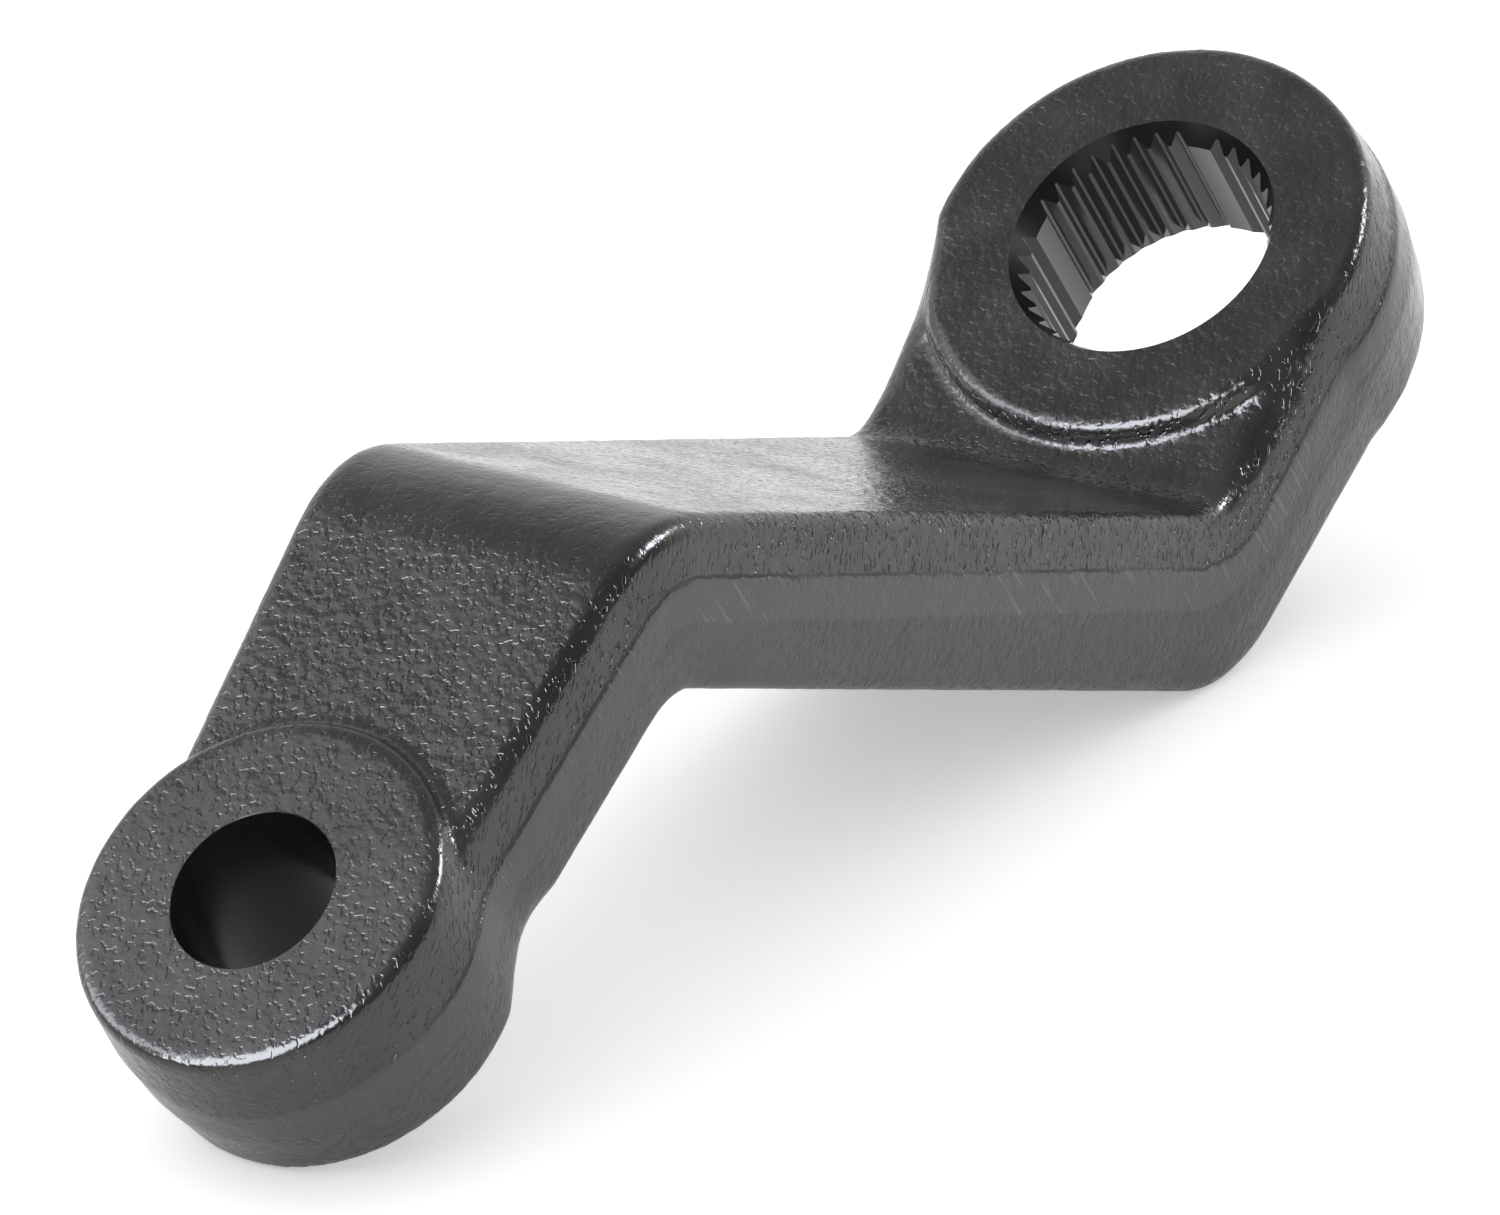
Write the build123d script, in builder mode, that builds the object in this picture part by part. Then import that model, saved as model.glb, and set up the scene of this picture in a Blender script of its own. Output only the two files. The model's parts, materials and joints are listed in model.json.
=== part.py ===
from build123d import *
import math
import os

# Pitman arm: a one-piece steel forging that turns the steering gear's sector shaft into the
# sideways push of the drag link. Millimetres. The origin is the centre of the splined bore on
# the nut face of the large boss, +Z runs out of that face along the bore, and +X runs towards
# the tapered stud hole. The arm is cranked, so its small end stands off towards +Z by the drop.

# Layout
centre_distance = 152.4      # splined bore to stud hole, along X
drop = 96.0                  # nut face of the large boss to the stud face of the small boss
root_length = 3.9            # flat beside the large boss, up to the lower bend
tip_length = 53.9            # upper bend to the stud hole, along X

# Serrated bore: 36 pitches, of which four are left uncut as wide lands
pitch_count = 36
wide_land_count = 4
crest_radius = 15.3
crest_flat = 0.5             # width of a crest between two grooves
groove_depth = 0.95
groove_root = 0.35           # flat at the bottom of a groove
lead_in_margin = 0.75        # mouth of the conical lead-in beyond the groove bottoms
lead_in_depth = 2.9
back_lead_in_depth = 5.1     # a wider one, at 45 degrees, on the back

# Tapered stud hole, wide at the face that the ball stud enters
stud_mouth_radius = 9.4
stud_taper = 1 / 8           # on the diameter
stud_edge_break = 0.25

# Large boss
large_boss_wall = 14.3       # crests to the outside, at the trim band
large_face_rise = 2.6        # nut face above the arm
large_back_rise = 0.5
large_edge_radius = 1.6
large_foot_radius = 0.9
large_back_break = 1.2       # edge break round the machined back

# Small boss
small_boss_wall = 12.6       # mouth of the stud hole to the outside, at the trim band
small_face_rise = 2.2
small_back_rise = 1.4
small_edge_radius = 1.4
small_foot_radius = 0.7
small_back_break = 1.6

# Most that the round at the rim and the one at the foot may take of a boss's rise
rim_share = 0.64
foot_share = 0.35

# Arm
root_thickness = 22.4        # up to the lower bend
tip_thickness = 19.4         # from the upper bend on
root_shoulder = 0.6          # large boss beyond the arm's side, at the bore
tip_shoulder = 3.4           # small boss beyond the arm's side, at the stud hole
parting_depth = 6.6          # parting line below the upper surface
trim_band = 5.0              # band below the parting line, left where the flash is trimmed off
draft_angle = 7.0            # both ways from the trim band
arm_edge_radius = 2.3
inner_bend_radius = 8.0
outer_bend_radius = 18.0

# Values that follow
draft = math.tan(math.radians(draft_angle))
large_boss_radius = crest_radius + large_boss_wall
small_boss_radius = stud_mouth_radius + small_boss_wall
root_half_width = large_boss_radius - root_shoulder
tip_half_width = small_boss_radius - tip_shoulder
low_top = -large_face_rise                   # upper surface of the arm beside the large boss
high_top = drop - small_face_rise            # upper surface beside the small boss
low_back = low_top - root_thickness
high_back = high_top - tip_thickness
large_back = low_back - large_back_rise      # back face of the large boss
small_back = high_back - small_back_rise     # nut seat of the ball stud
lower_bend_x = large_boss_radius + root_length
upper_bend_x = centre_distance - tip_length
turn = math.atan2(high_top - low_top, upper_bend_x - lower_bend_x)
mitre = math.tan(turn / 2)                   # how far a bend's corner moves along X with depth
upper_draft_depth = parting_depth
lower_draft_depth = tip_thickness - parting_depth - trim_band
crest_pitch = 2 * math.pi * crest_radius / pitch_count
groove_mouth = crest_pitch - crest_flat
lead_in = groove_depth + lead_in_margin
stud_tail_radius = stud_mouth_radius - (drop - small_back) * stud_taper / 2
stud_axis = Axis((centre_distance, 0, 0), (0, 0, 1))
stud_plane = Plane.XZ.shift_origin((centre_distance, 0, 0))


def rim_round(radius, rise):
    """Radius of the round at the rim of a boss, which shares the height of its rise with the foot."""
    return min(radius, rim_share * rise)


def foot_round(radius, rise):
    """Radius of the round at the foot of a boss, below the one at its rim."""
    return min(radius, foot_share * rise)


def boss_section(radius, face, parting, back, face_edge_radius, back_break):
    """Half section of a round boss, drafted both ways from its trim band."""
    with BuildSketch() as section:
        with BuildLine():
            Polyline(
                (0, face),
                (radius - (face - parting) * draft, face),
                (radius, parting),
                (radius, parting - trim_band),
                (radius - (parting - trim_band - back) * draft, back),
                (0, back),
                close=True,
            )
        make_face()
        fillet(vertices().group_by(Axis.Y)[-1].sort_by(Axis.X)[-1], face_edge_radius)
        chamfer(vertices().group_by(Axis.Y)[0].sort_by(Axis.X)[-1], back_break)
    return section.sketch


large_section = boss_section(
    large_boss_radius,
    0,
    low_top - parting_depth,
    large_back,
    rim_round(large_edge_radius, large_face_rise),
    large_back_break,
)
small_section = boss_section(
    small_boss_radius,
    drop,
    high_top - parting_depth,
    small_back,
    rim_round(small_edge_radius, small_face_rise),
    small_back_break,
)

# One groove of the serration, along +X
with BuildSketch() as groove:
    with BuildLine():
        Polyline(
            (crest_radius - groove_depth, groove_mouth / 2),
            (crest_radius, groove_mouth / 2),
            (crest_radius + groove_depth, groove_root / 2),
            (crest_radius + groove_depth, -groove_root / 2),
            (crest_radius, -groove_mouth / 2),
            (crest_radius - groove_depth, -groove_mouth / 2),
            close=True,
        )
    make_face()

pitches_per_land = pitch_count // wide_land_count
groove_places = [
    Location((0, 0, 0), (0, 0, i * 360 / pitch_count))
    for i in range(pitch_count)
    if i % pitches_per_land
]

with BuildPart() as arm:
    # Side view: the cranked strip, a little thinner towards the tip
    with BuildSketch(Plane.XZ):
        with BuildLine():
            top = FilletPolyline(
                (0, low_top),
                (lower_bend_x, low_top),
                (upper_bend_x, high_top),
                (centre_distance, high_top),
                radius=[inner_bend_radius, outer_bend_radius],
            )
            bottom = FilletPolyline(
                (0, low_back),
                (lower_bend_x + mitre * root_thickness, low_back),
                (upper_bend_x + mitre * tip_thickness, high_back),
                (centre_distance, high_back),
                radius=[outer_bend_radius, inner_bend_radius],
            )
            Line(top @ 0, bottom @ 0)
            Line(top @ 1, bottom @ 1)
        make_face()
    extrude(amount=large_boss_radius, both=True)

    # Plan view: the taper from the large boss to the small one
    with BuildSketch(Plane.XY.offset(low_back)):
        with BuildLine():
            Polyline(
                (0, root_half_width),
                (centre_distance, tip_half_width),
                (centre_distance, -tip_half_width),
                (0, -root_half_width),
                close=True,
            )
        make_face()
    extrude(amount=high_top - low_back, mode=Mode.INTERSECT)

    # Draft on both sides, from the trim band to the upper and the lower surface
    for side in (0, -1):
        for facing, depth in ((1, upper_draft_depth), (-1, lower_draft_depth)):
            upright = faces().filter_by(lambda f: abs(f.normal_at().Z) < 1e-6)
            wall = upright.sort_by(Axis.Y)[side]
            skins = faces().filter_by(lambda f: f.normal_at().Z * facing > 0.3)
            chamfer(wall.edges() & skins.edges(), depth, depth * draft, reference=wall)

    # Rounding of the four long edges
    skins = faces().filter_by(lambda f: abs(f.normal_at().Y) < 1e-3 and abs(f.normal_at().X) < 0.999)
    long_edges = skins.edges().filter_by(lambda e: abs((e % 0.5).Y) < 0.5)
    fillet(long_edges, arm_edge_radius)

    # Bosses
    with BuildSketch(Plane.XZ):
        add(large_section)
    revolve(axis=Axis.Z)
    with BuildSketch(stud_plane):
        add(small_section)
    revolve(axis=stud_axis)

    # Foot of each boss on the arm's upper surface
    for x, level, rise, foot_radius in (
        (0, low_top, large_face_rise, large_foot_radius),
        (centre_distance, high_top, small_face_rise, small_foot_radius),
    ):
        rings = edges().filter_by(GeomType.CIRCLE)
        foot = rings.filter_by(lambda e: (e.arc_center - Vector(x, 0, level)).length < 1e-3)
        fillet(foot, foot_round(foot_radius, rise))

    # Serrated bore, then a conical lead-in at each end
    with BuildSketch(Plane.XY.offset(large_back)):
        Circle(crest_radius)
        with Locations(*groove_places):
            add(groove.sketch)
    extrude(amount=-large_back, mode=Mode.SUBTRACT)
    with BuildSketch(Plane.XZ):
        for face, mouth, depth in (
            (0, crest_radius + lead_in, -lead_in_depth),
            (large_back, crest_radius + back_lead_in_depth, back_lead_in_depth),
        ):
            end = face + depth
            with BuildLine():
                Polyline((0, face), (mouth, face), (crest_radius, end), (0, end), close=True)
            make_face()
    revolve(axis=Axis.Z, mode=Mode.SUBTRACT)

    # Tapered stud hole, its two edges broken
    with BuildSketch(stud_plane):
        with BuildLine():
            Polyline(
                (0, drop),
                (stud_mouth_radius + stud_edge_break, drop),
                (stud_mouth_radius, drop - stud_edge_break),
                (stud_tail_radius, small_back + stud_edge_break),
                (stud_tail_radius + stud_edge_break, small_back),
                (0, small_back),
                close=True,
            )
        make_face()
    revolve(axis=stud_axis, mode=Mode.SUBTRACT)

os.makedirs("parts", exist_ok=True)
arm.part.label = "pitman_arm"
export_step(arm.part, "parts/pitman_arm.step")
print("volume", round(arm.part.volume), "valid", arm.part.is_valid)
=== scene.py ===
"""Pitman arm: a black painted forging with a serrated bore and a tapered stud hole, lying at rest."""

import json
import logging
import math
from dataclasses import dataclass
from enum import Enum

import bmesh
import bpy
import numpy as np
from mathutils import Matrix, Vector, noise


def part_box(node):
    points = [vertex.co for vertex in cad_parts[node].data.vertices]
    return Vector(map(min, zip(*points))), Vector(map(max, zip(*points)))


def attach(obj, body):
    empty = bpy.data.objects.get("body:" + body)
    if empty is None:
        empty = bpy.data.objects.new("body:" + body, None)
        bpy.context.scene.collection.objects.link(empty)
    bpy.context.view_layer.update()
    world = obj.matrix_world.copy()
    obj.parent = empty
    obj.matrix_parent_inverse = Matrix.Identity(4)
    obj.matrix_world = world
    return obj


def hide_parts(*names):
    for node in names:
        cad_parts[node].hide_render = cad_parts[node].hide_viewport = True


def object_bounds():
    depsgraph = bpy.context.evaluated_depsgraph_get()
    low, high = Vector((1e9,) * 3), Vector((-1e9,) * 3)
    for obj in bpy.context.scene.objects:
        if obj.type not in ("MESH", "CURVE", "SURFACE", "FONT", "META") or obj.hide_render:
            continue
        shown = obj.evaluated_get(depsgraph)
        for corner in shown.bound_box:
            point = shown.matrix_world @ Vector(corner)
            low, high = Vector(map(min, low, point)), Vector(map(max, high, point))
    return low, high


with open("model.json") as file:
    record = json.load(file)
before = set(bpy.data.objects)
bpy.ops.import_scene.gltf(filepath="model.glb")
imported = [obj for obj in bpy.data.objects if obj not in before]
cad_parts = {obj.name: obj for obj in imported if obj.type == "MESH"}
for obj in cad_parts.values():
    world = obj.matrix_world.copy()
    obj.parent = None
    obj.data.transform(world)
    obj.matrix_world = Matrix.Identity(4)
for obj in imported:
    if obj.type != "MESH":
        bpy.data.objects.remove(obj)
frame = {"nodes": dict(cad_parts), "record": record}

log = logging.getLogger("pitman_arm")
MM = 0.001
TINY = 1e-6
NODE = "pitman_arm"
BODY = "root"
CAD_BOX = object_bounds()

# The colour sockets of a Mix node
MIX_UNDER, MIX_OVER, MIX_RESULT = 6, 7, 2


class Surface(Enum):
    """The kinds of surface on the arm, in the order of its material slots."""

    PAINTED = 0
    BROACHED = 1
    REAMED = 2


class Relief(Enum):
    """Names of the values that the forging's mesh stores at each point."""

    PARTING = "parting_mm"
    SIDE = "side"
    PITTING = "pitting"
    CREASE = "crease"
    CALM = "calm"


def read_rows(items: bpy.types.bpy_prop_collection, key: str) -> np.ndarray:
    """Reads a vector of each item.

    Args:
        items: A mesh's vertices or vertex normals.
        key: The vector's name.

    Returns:
        An array with a row of x, y and z for each item.
    """
    rows = np.empty(len(items) * 3)
    items.foreach_get(key, rows)
    return rows.reshape(-1, 3)


def as_points(mesh: bpy.types.Mesh) -> np.ndarray:
    """Reads the points of a mesh, in metres."""
    return read_rows(mesh.vertices, "co")


def as_normals(mesh: bpy.types.Mesh) -> np.ndarray:
    """Reads the smooth normals of a mesh."""
    return read_rows(mesh.vertex_normals, "vector")


def move_points(mesh: bpy.types.Mesh, points: np.ndarray) -> None:
    """Moves the points of a mesh to new places, in metres."""
    mesh.vertices.foreach_set("co", points.ravel())
    mesh.update()


def evaluated_mesh(piece: bpy.types.Object, name: str) -> bpy.types.Mesh:
    """Applies a piece's modifiers.

    Args:
        piece: The object with its modifiers.
        name: The new mesh's name.

    Returns:
        A mesh of its own with every modifier applied.
    """
    graph = bpy.context.evaluated_depsgraph_get()
    graph.update()
    mesh = bpy.data.meshes.new_from_object(piece.evaluated_get(graph), depsgraph=graph)
    mesh.name = name
    return mesh


def ease(value: np.ndarray) -> np.ndarray:
    """Eases a ramp between 0 and 1."""
    share = np.clip(value, 0, 1)
    return share * share * (3 - 2 * share)


def new_object(name: str, mesh: bpy.types.Mesh) -> bpy.types.Object:
    """Links a new object for a mesh.

    Args:
        name: The object's name.
        mesh: Its mesh.

    Returns:
        The linked object.
    """
    piece = bpy.data.objects.new(name, mesh)
    bpy.context.scene.collection.objects.link(piece)
    return piece


def closed_solid(name: str, rings: list) -> bpy.types.Object:
    """Makes a closed solid from rings of points, with a flat cap at its first and its last ring.

    Args:
        name: The object's name.
        rings: Lists of points in millimetres, each list as long as the others.

    Returns:
        The linked object.
    """
    bm = bmesh.new()
    rows = [[bm.verts.new(Vector(point) * MM) for point in ring] for ring in rings]
    count = len(rows[0])
    for lower, upper in zip(rows, rows[1:]):
        for index in range(count):
            after = (index + 1) % count
            bm.faces.new((lower[index], lower[after], upper[after], upper[index]))
    bm.faces.new(list(reversed(rows[0])))
    bm.faces.new(rows[-1])
    bmesh.ops.recalc_face_normals(bm, faces=bm.faces)
    mesh = bpy.data.meshes.new(name)
    bm.to_mesh(mesh)
    bm.free()
    return new_object(name, mesh)


def turned_solid(name: str, profile: list, centre_x: float, steps: int = 180) -> bpy.types.Object:
    """Turns a profile about an upright axis into a closed solid.

    Args:
        name: The object's name.
        profile: Pairs of radius and height in millimetres, from one end to the other.
        centre_x: Where the axis stands, in millimetres.
        steps: Facets round the axis.

    Returns:
        The linked object.
    """
    angles = [2 * math.pi * step / steps for step in range(steps)]
    rings = [
        [(centre_x + radius * math.cos(angle), radius * math.sin(angle), height) for angle in angles]
        for radius, height in profile
    ]
    return closed_solid(name, rings)


@dataclass(frozen=True)
class SerratedBore:
    """The bore of the large boss: V grooves with four wide lands between them, and a cone at each end."""

    back: float
    pitches: int = 36
    pitches_per_land: int = 9
    crest: float = 15.3
    crest_flat: float = 0.5
    groove_depth: float = 0.95
    groove_root: float = 0.35
    lead_in: float = 1.7
    lead_in_depth: float = 2.9
    back_lead_in: float = 5.1
    beyond: float = 0.6
    inside: float = 0.8
    land_steps: int = 7

    def outline(self) -> list:
        """Traces the serration seen along the bore.

        Returns:
            Points of x and y in millimetres, once round.
        """
        pitch = 2 * math.pi / self.pitches
        half_mouth = (pitch * self.crest - self.crest_flat) / 2
        half_angle = math.asin(half_mouth / self.crest)
        half_root = math.atan2(self.groove_root / 2, self.crest + self.groove_depth)
        root = math.hypot(self.groove_root / 2, self.crest + self.groove_depth)
        corners = []
        for index in range(self.pitches):
            middle = index * pitch
            if index % self.pitches_per_land:
                corners.append((self.crest, middle - half_angle))
                corners.append((root, middle - half_root))
                corners.append((root, middle + half_root))
                corners.append((self.crest, middle + half_angle))
            else:
                for step in range(1 - self.land_steps, self.land_steps):
                    corners.append((self.crest, middle + step / self.land_steps * (pitch - half_angle)))
        return [(radius * math.cos(angle), radius * math.sin(angle)) for radius, angle in corners]

    def build_cutters(self) -> dict:
        """Builds what is cut out of the blank.

        Returns:
            The serration's solid and the two cones, each with the kind of surface that it leaves.
        """
        outline = self.outline()
        ends = (self.back - self.beyond, self.beyond)
        broach = closed_solid("broach", [[(x, y, z) for x, y in outline] for z in ends])
        slope = self.lead_in / self.lead_in_depth
        front = [
            (self.crest - self.inside, -self.lead_in_depth - self.inside / slope),
            (self.crest + self.lead_in + slope * self.beyond, self.beyond),
        ]
        rear = [
            (self.crest + self.back_lead_in + self.beyond, self.back - self.beyond),
            (self.crest - self.inside, self.back + self.back_lead_in + self.inside),
        ]
        return {
            broach: Surface.BROACHED,
            turned_solid("front_cone", front, 0.0): Surface.REAMED,
            turned_solid("rear_cone", rear, 0.0): Surface.REAMED,
        }


@dataclass(frozen=True)
class StudHole:
    """The tapered hole of the small boss, wide at the face that the ball stud enters."""

    centre_x: float
    face: float
    back: float
    mouth: float = 9.4
    taper: float = 1 / 8
    edge_break: float = 0.08
    beyond: float = 0.6

    def build_cutters(self) -> dict:
        """Builds what is cut out of the blank.

        Returns:
            The reamer's solid, with both edge breaks, and the kind of surface that it leaves.
        """
        tail = self.mouth - (self.face - self.back) * self.taper / 2
        flare = self.edge_break + self.beyond
        profile = [
            (tail + flare, self.back - self.beyond),
            (tail, self.back + self.edge_break),
            (self.mouth, self.face - self.edge_break),
            (self.mouth + flare, self.face + self.beyond),
        ]
        return {turned_solid("reamer", profile, self.centre_x): Surface.REAMED}


@dataclass(frozen=True)
class Layout:
    """Where the arm's parts lie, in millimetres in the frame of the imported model."""

    stud_x: float
    drop: float
    back: float
    stud_back: float
    sector_reach: float = 21.2
    stud_reach: float = 10.2
    low_rise: float = 2.6
    high_rise: float = 2.2
    lower_bend_x: float = 33.5
    upper_bend_x: float = 98.5
    inner_bend: float = 8.0
    outer_bend: float = 18.0
    parting_depth: float = 6.6
    overrun: float = 60.0
    bend_steps: int = 12

    @classmethod
    def from_frame(cls) -> "Layout":
        """Takes the stud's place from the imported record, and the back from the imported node's box.

        Returns:
            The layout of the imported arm.
        """
        mounts = {mount["name"]: mount for mount in frame["record"]["mounts"]}
        stud = mounts["ball_stud_taper"]["pos_m"]
        seat = mounts["stud_nut_seat"]["pos_m"]
        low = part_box(NODE)[0]
        return cls(stud_x=stud[0] / MM, drop=stud[2] / MM, back=low.z / MM, stud_back=seat[2] / MM)

    def upper_edge(self) -> np.ndarray:
        """Traces the arm's upper surface in side view, with its two bends.

        Returns:
            Points of x and z in millimetres, closely spaced.
        """
        low, high = -self.low_rise, self.drop - self.high_rise
        corners = [
            Vector((-self.overrun, low)),
            Vector((self.lower_bend_x, low)),
            Vector((self.upper_bend_x, high)),
            Vector((self.stud_x + self.overrun, high)),
        ]
        points = [corners[0]]
        for before, corner, after, radius in (
            (corners[0], corners[1], corners[2], self.inner_bend),
            (corners[1], corners[2], corners[3], self.outer_bend),
        ):
            arriving = (before - corner).normalized()
            leaving = (after - corner).normalized()
            half_angle = arriving.angle(leaving) / 2
            reach = radius / math.tan(half_angle)
            centre = corner + (arriving + leaving).normalized() * radius / math.sin(half_angle)
            start = (corner + arriving * reach - centre).normalized()
            end = (corner + leaving * reach - centre).normalized()
            for step in range(self.bend_steps + 1):
                points.append(centre + start.slerp(end, step / self.bend_steps) * radius)
        points.append(corners[3])
        return np.array([tuple(point) for point in points])

    def depth_below_top(self, points: np.ndarray) -> np.ndarray:
        """Measures how far points lie below the arm's upper surface in side view.

        Args:
            points: Rows of x, y and z in metres.

        Returns:
            Depths in millimetres, square to the upper surface.
        """
        edge = self.upper_edge()
        starts, runs = edge[:-1], np.diff(edge, axis=0)
        lengths = np.linalg.norm(runs, axis=1)
        flat = points[:, [0, 2]] / MM
        nearest = np.full(len(flat), np.inf)
        for start, run, length in zip(starts, runs, lengths):
            share = np.clip((flat - start) @ run / length**2, 0, 1)
            away = np.linalg.norm(flat - start - share[:, None] * run, axis=1)
            nearest = np.minimum(nearest, away)
        return nearest


@dataclass(frozen=True)
class SoftCorners:
    """Where the bar's edges and walls run softly into the two bosses, in millimetres.

    Each reach is how far a soft corner goes and over what width it fades out.
    """

    stud_x: float
    stud_rim: float
    root_corner: tuple = (8.5, 28.2, -3.8)
    root_reach: tuple = (7.0, 5.0)
    edge_y: float = 29.0
    edge_taper: float = 0.068
    edge_z: float = -3.0
    edge_reach: tuple = (6.0, 3.0)
    edge_stations: tuple = (4.0, 12.0, 26.0, 34.0)
    edge_shares: tuple = (0.0, 0.8, 0.8, 0.0)
    stud_corner: tuple = (-10.5, 19.3)
    stud_reach: tuple = (8.0, 5.0)
    stud_fade: float = 2.5

    def share(self, places: np.ndarray) -> np.ndarray:
        """Tells where the arm runs into a boss.

        Args:
            places: Rows of x, y and z in millimetres.

        Returns:
            1 at the middle of a soft corner, 0 away from all of them.
        """
        x, y, z = places.T
        corner_x, corner_y, corner_z = self.root_corner
        beside_root = np.interp(x, self.edge_stations, self.edge_shares)
        below_rim = ease((self.stud_rim - z) / self.stud_fade)
        found = np.zeros(len(places))
        for side in (-1, 1):
            corner = np.linalg.norm(places - (corner_x, side * corner_y, corner_z), axis=1)
            edge = np.hypot(y - side * (self.edge_y - self.edge_taper * x), z - self.edge_z)
            stud = np.hypot(x - self.stud_x - self.stud_corner[0], y - side * self.stud_corner[1])
            for away, (reach, fade), weight in (
                (corner, self.root_reach, 1.0),
                (edge, self.edge_reach, beside_root),
                (stud, self.stud_reach, below_rim),
            ):
                found = np.maximum(found, ease((reach - away) / fade) * weight)
        return found


@dataclass(frozen=True)
class SkinMap:
    """How the skin changes from place to place. Its pairs hold stations along X and the amounts there."""

    wall_pits: tuple = ((2.0, 22.0, 112.0, 130.0), (0.343, 0.98, 0.98, 0.294))
    pressed_pits: tuple = ((30.0, 38.0, 62.0, 90.0), (0.0, 1.2, 1.0, 0.2))
    crease: tuple = ((14.0, 30.0, 140.0, 166.0), (0.35, 1.0, 1.0, 0.1))
    trimmed_pits: float = 0.22
    least_pits: float = 0.18
    line_fade: float = 0.8
    bend_offset: float = 1.0
    bend_reach: float = 12.0
    stud_face_depth: float = 1.4
    stud_face_fade: float = 0.8
    stud_face_calm: float = 0.5


@dataclass
class Forging:
    """The forged arm: its rough skin, then the serrated bore and the stud hole cut through it."""

    layout: Layout
    skin_map: SkinMap = SkinMap()
    grid: float = 0.66
    wave: float = 0.045
    wave_size: float = 6.5
    scale_pit: float = 0.035
    pit_size: float = 2.3
    seed_steps: tuple = (1.7, 0.9, 2.3)
    soft_factor: float = 0.5
    soft_passes: int = 4
    blend_passes: int = 70
    upper_offset: tuple = (0.1, 0.4)
    lower_offset: tuple = (0.35, 0.65)
    offset_reach: float = 1.3
    boss_climb: tuple = ((12.0, 30.0), (1.1, 0.0))
    high_rim: float = 3.4
    wall_facing: float = 0.75
    wall_fade: float = 0.3
    flat_facing: float = 0.999
    sharp_angle: float = 20.0
    seed: int = 7

    def hole_faces(self, bm: bmesh.types.BMesh) -> list:
        """Finds the faces inside the serrated bore and inside the stud hole.

        Args:
            bm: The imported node's mesh, welded.

        Returns:
            The walls of both holes.
        """
        found = []
        for face in bm.faces:
            middle = face.calc_center_median() / MM
            in_bore = math.hypot(middle.x, middle.y) < self.layout.sector_reach
            in_stud_hole = math.hypot(middle.x - self.layout.stud_x, middle.y) < self.layout.stud_reach
            if abs(face.normal.z) < self.flat_facing and (in_bore or in_stud_hole):
                found.append(face)
        return found

    def build_blank(self) -> bpy.types.Object:
        """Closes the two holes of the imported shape, as the forging is before it is machined.

        Returns:
            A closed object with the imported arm's outside.
        """
        bm = bmesh.new()
        bm.from_mesh(frame["nodes"][NODE].data)
        bmesh.ops.remove_doubles(bm, verts=bm.verts, dist=TINY)
        bmesh.ops.recalc_face_normals(bm, faces=bm.faces)
        bmesh.ops.delete(bm, geom=self.hole_faces(bm), context="FACES")
        rims = [edge for edge in bm.edges if edge.is_boundary]
        bmesh.ops.holes_fill(bm, edges=rims, sides=0)
        mesh = bpy.data.meshes.new("blank")
        bm.to_mesh(mesh)
        bm.free()
        return new_object("blank", mesh)

    def even_skin(self, blank: bpy.types.Object) -> bpy.types.Mesh:
        """Covers the blank with an even grid of small quads that lies on its surface.

        Args:
            blank: The closed forging.

        Returns:
            The gridded mesh.
        """
        skin = new_object("skin_grid", blank.data.copy())
        remesh = skin.modifiers.new("even grid", "REMESH")
        remesh.mode = "VOXEL"
        remesh.voxel_size = self.grid * MM
        wrap = skin.modifiers.new("onto the surface", "SHRINKWRAP")
        wrap.target = blank
        wrap.wrap_method = "NEAREST_SURFACEPOINT"
        soften = skin.modifiers.new("soft forged corners", "SMOOTH")
        soften.factor = self.soft_factor
        soften.iterations = self.soft_passes
        mesh = evaluated_mesh(skin, "skin")
        bpy.data.objects.remove(skin)
        return mesh

    def blend_bosses(self, mesh: bpy.types.Mesh) -> None:
        """Blends the arm's long edges and walls softly into the two bosses.

        Args:
            mesh: The gridded skin, changed in place.
        """
        points = as_points(mesh)
        ends = np.empty(len(mesh.edges) * 2, dtype=np.int32)
        mesh.edges.foreach_get("vertices", ends)
        ends = ends.reshape(-1, 2)
        rim = self.layout.drop - self.high_rim
        share = SoftCorners(self.layout.stud_x, rim).share(points / MM)
        ends = ends[(share[ends] > 0).all(axis=1)]
        first, second = ends[:, 0], ends[:, 1]
        count = len(points)
        joined = np.maximum(np.bincount(ends.ravel(), minlength=count), 1)
        for _ in range(self.blend_passes):
            for axis in range(3):
                level = points[:, axis]
                total = np.bincount(first, level[second], count)
                total += np.bincount(second, level[first], count)
                level += (total / joined - level) * share / 2
        move_points(mesh, points)

    def roughen(self, mesh: bpy.types.Mesh) -> None:
        """Gives the skin the slow waves and the shallow scale pits of a hot forging.

        Args:
            mesh: The gridded skin, changed in place.
        """
        points, normals = as_points(mesh), as_normals(mesh)
        shift = Vector([self.seed * step for step in self.seed_steps])
        lift = np.empty(len(points))
        for index, point in enumerate(points / MM):
            place = Vector(point)
            slow = noise.noise(place / self.wave_size + shift)
            quick = noise.noise(place / self.pit_size - shift)
            lift[index] = self.wave * slow + self.scale_pit * quick
        points += normals * (lift * MM)[:, None]
        move_points(mesh, points)

    def offset_dies(self, mesh: bpy.types.Mesh) -> None:
        """Shifts what the upper and the lower die formed to the side, which leaves a step between them.

        Args:
            mesh: The gridded skin, changed in place.
        """
        points = as_points(mesh)
        below = ease(0.5 + self.depth_below_parting(points) / self.offset_reach)
        along = points[:, 0] / MM
        stations = (0.0, self.layout.stud_x)
        upper = np.interp(along, stations, self.upper_offset)
        lower = np.interp(along, stations, self.lower_offset)
        points[:, 1] += (upper + (lower - upper) * below) * MM
        move_points(mesh, points)

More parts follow.
